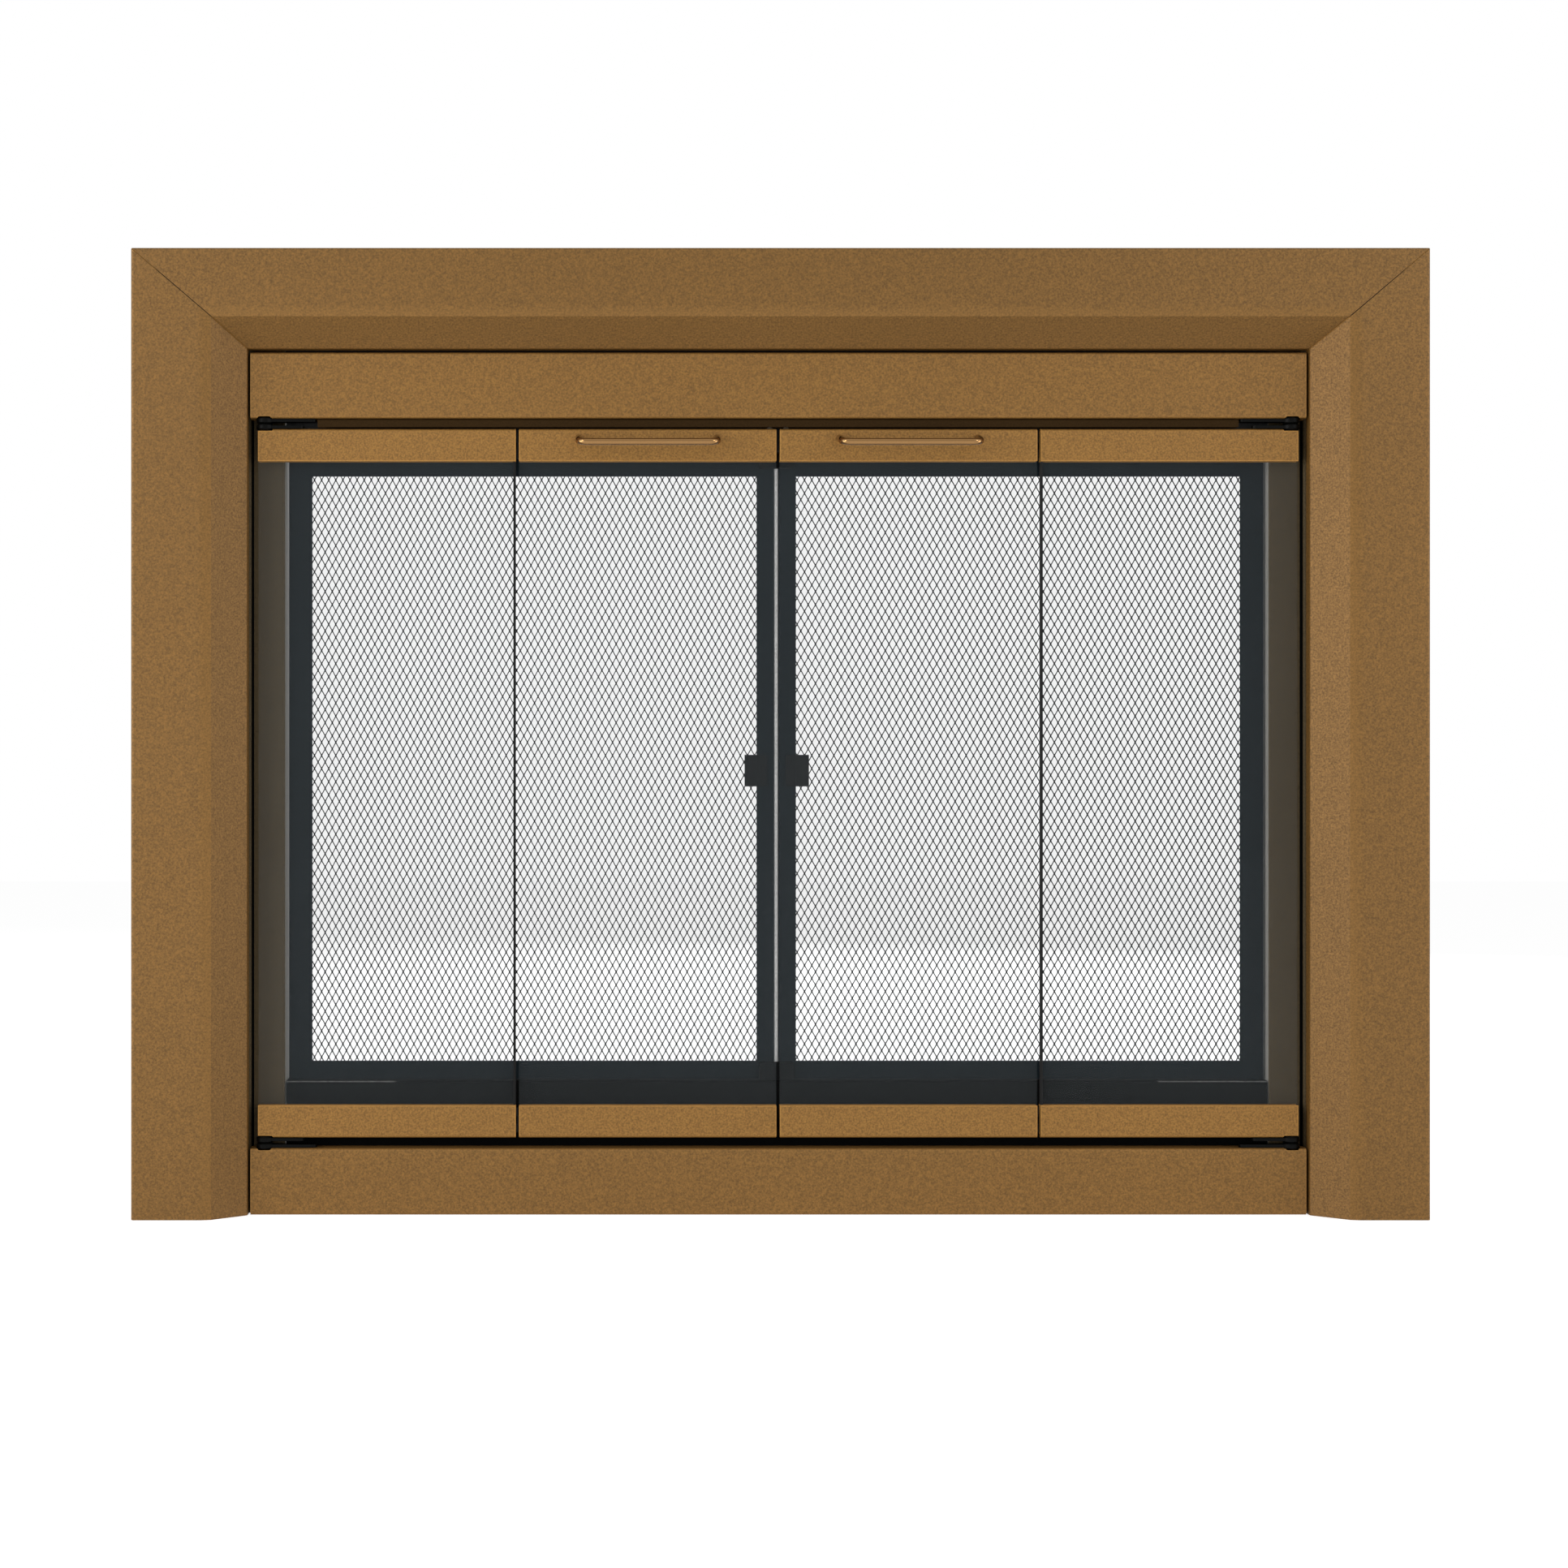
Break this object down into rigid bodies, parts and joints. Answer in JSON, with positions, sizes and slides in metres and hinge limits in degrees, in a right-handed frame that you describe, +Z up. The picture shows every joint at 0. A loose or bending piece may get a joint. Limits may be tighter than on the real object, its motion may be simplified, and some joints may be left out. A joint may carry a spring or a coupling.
{
  "type": "fireplace glass door",
  "caption": "Folded steel fireplace surround with bifold glass doors that run in a top track, wire handles, and mesh gates behind the glass.",
  "frame": {"origin": "on the hearth plane, under the middle of the whole assembly's width and depth", "axes": "+X to the right seen from the room, +Y into the firebox, +Z up"},
  "size_m": [1.105, 0.1128, 0.827],
  "materials": {
    "bronze_coat": "satin bronze powder coat with a fine grain",
    "shaded_bronze": "satin bronze coat on the inner frame",
    "handle_bronze": "smooth, brighter bronze with clear highlights",
    "black_steel": "satin black",
    "gate_black": "matt heat-resistant black",
    "bare_steel": "zinc plated",
    "nylon": "natural nylon",
    "seal_grey": "dark grey soft seal, matt",
    "catch_black": "moulded, matt",
    "glass": "clear tempered glass"
  },
  "bodies": {
    "root": {"surround_left": "bronze_coat", "surround_right": "bronze_coat", "surround_top": "bronze_coat", "header_panel": "bronze_coat", "bottom_panel": "bronze_coat", "lintel_rail": "black_steel", "sill_rail": "black_steel", "top_track": "shaded_bronze", "magnet_catch": "catch_black", "lower_magnet_catch": "catch_black", "corner_key_left": "bare_steel", "corner_key_right": "bare_steel", "jamb_left": "shaded_bronze", "jamb_right": "shaded_bronze", "frame_pivot_top_left": "black_steel", "frame_pivot_top_right": "black_steel", "frame_pivot_bottom_left": "black_steel", "frame_pivot_bottom_right": "black_steel", "lintel_clamp_left": "bare_steel", "lintel_clamp_right": "bare_steel", "clamp_bolt_left": "bare_steel", "clamp_bolt_right": "bare_steel", "hearth_bracket_left": "bare_steel", "hearth_bracket_right": "bare_steel"},
    "left_outer_panel": {"left_outer_top_rail": "bronze_coat", "left_outer_bottom_rail": "bronze_coat", "left_outer_glass": "glass", "left_outer_edge_seal": "seal_grey", "left_outer_pivot_top": "black_steel", "left_outer_pivot_bottom": "black_steel", "left_outer_hinge_top": "black_steel", "left_outer_hinge_bottom": "black_steel"},
    "left_inner_panel": {"left_inner_top_rail": "bronze_coat", "left_inner_bottom_rail": "bronze_coat", "left_inner_glass": "glass", "left_inner_handle": "handle_bronze", "left_inner_guide_pin": "nylon", "left_inner_hinge_top": "black_steel", "left_inner_hinge_bottom": "black_steel"},
    "left_gate": {"left_gate_frame": "gate_black", "left_gate_net": "gate_black", "left_gate_pull": "gate_black"},
    "right_outer_panel": {"right_outer_top_rail": "bronze_coat", "right_outer_bottom_rail": "bronze_coat", "right_outer_glass": "glass", "right_outer_edge_seal": "seal_grey", "right_outer_pivot_top": "black_steel", "right_outer_pivot_bottom": "black_steel", "right_outer_hinge_top": "black_steel", "right_outer_hinge_bottom": "black_steel"},
    "right_inner_panel": {"right_inner_top_rail": "bronze_coat", "right_inner_bottom_rail": "bronze_coat", "right_inner_glass": "glass", "right_inner_handle": "handle_bronze", "right_inner_guide_pin": "nylon", "right_inner_hinge_top": "black_steel", "right_inner_hinge_bottom": "black_steel"},
    "right_gate": {"right_gate_frame": "gate_black", "right_gate_net": "gate_black", "right_gate_pull": "gate_black"}
  },
  "joints": [
    {"name": "left_pivot", "type": "hinge", "parent": "root", "child": "left_outer_panel", "pos_m": [-0.4425, -0.0229, 0.37146], "axis": [0, 0, -1], "range_deg": [0, 85]},
    {"name": "left_fold", "type": "hinge", "parent": "left_outer_panel", "child": "left_inner_panel", "pos_m": [-0.2247, -0.0156, 0.37146], "axis": [0, 0, 1], "range_deg": [0, 170]},
    {"name": "right_pivot", "type": "hinge", "parent": "root", "child": "right_outer_panel", "pos_m": [0.4425, -0.0229, 0.37146], "axis": [0, 0, 1], "range_deg": [0, 85]},
    {"name": "right_fold", "type": "hinge", "parent": "right_outer_panel", "child": "right_inner_panel", "pos_m": [0.2247, -0.0156, 0.37146], "axis": [0, 0, -1], "range_deg": [0, 170]},
    {"name": "left_gate_hinge", "type": "hinge", "parent": "root", "child": "left_gate", "pos_m": [-0.4178, -0.0004, 0.38566], "axis": [0, 0, 1], "range_deg": [0, 90]},
    {"name": "right_gate_hinge", "type": "hinge", "parent": "root", "child": "right_gate", "pos_m": [0.4178, -0.0004, 0.38566], "axis": [0, 0, -1], "range_deg": [0, 90]}
  ],
  "couplings": [
    {"joint": "left_fold", "follows": "left_pivot", "ratio": 2},
    {"joint": "right_fold", "follows": "right_pivot", "ratio": 2}
  ]
}
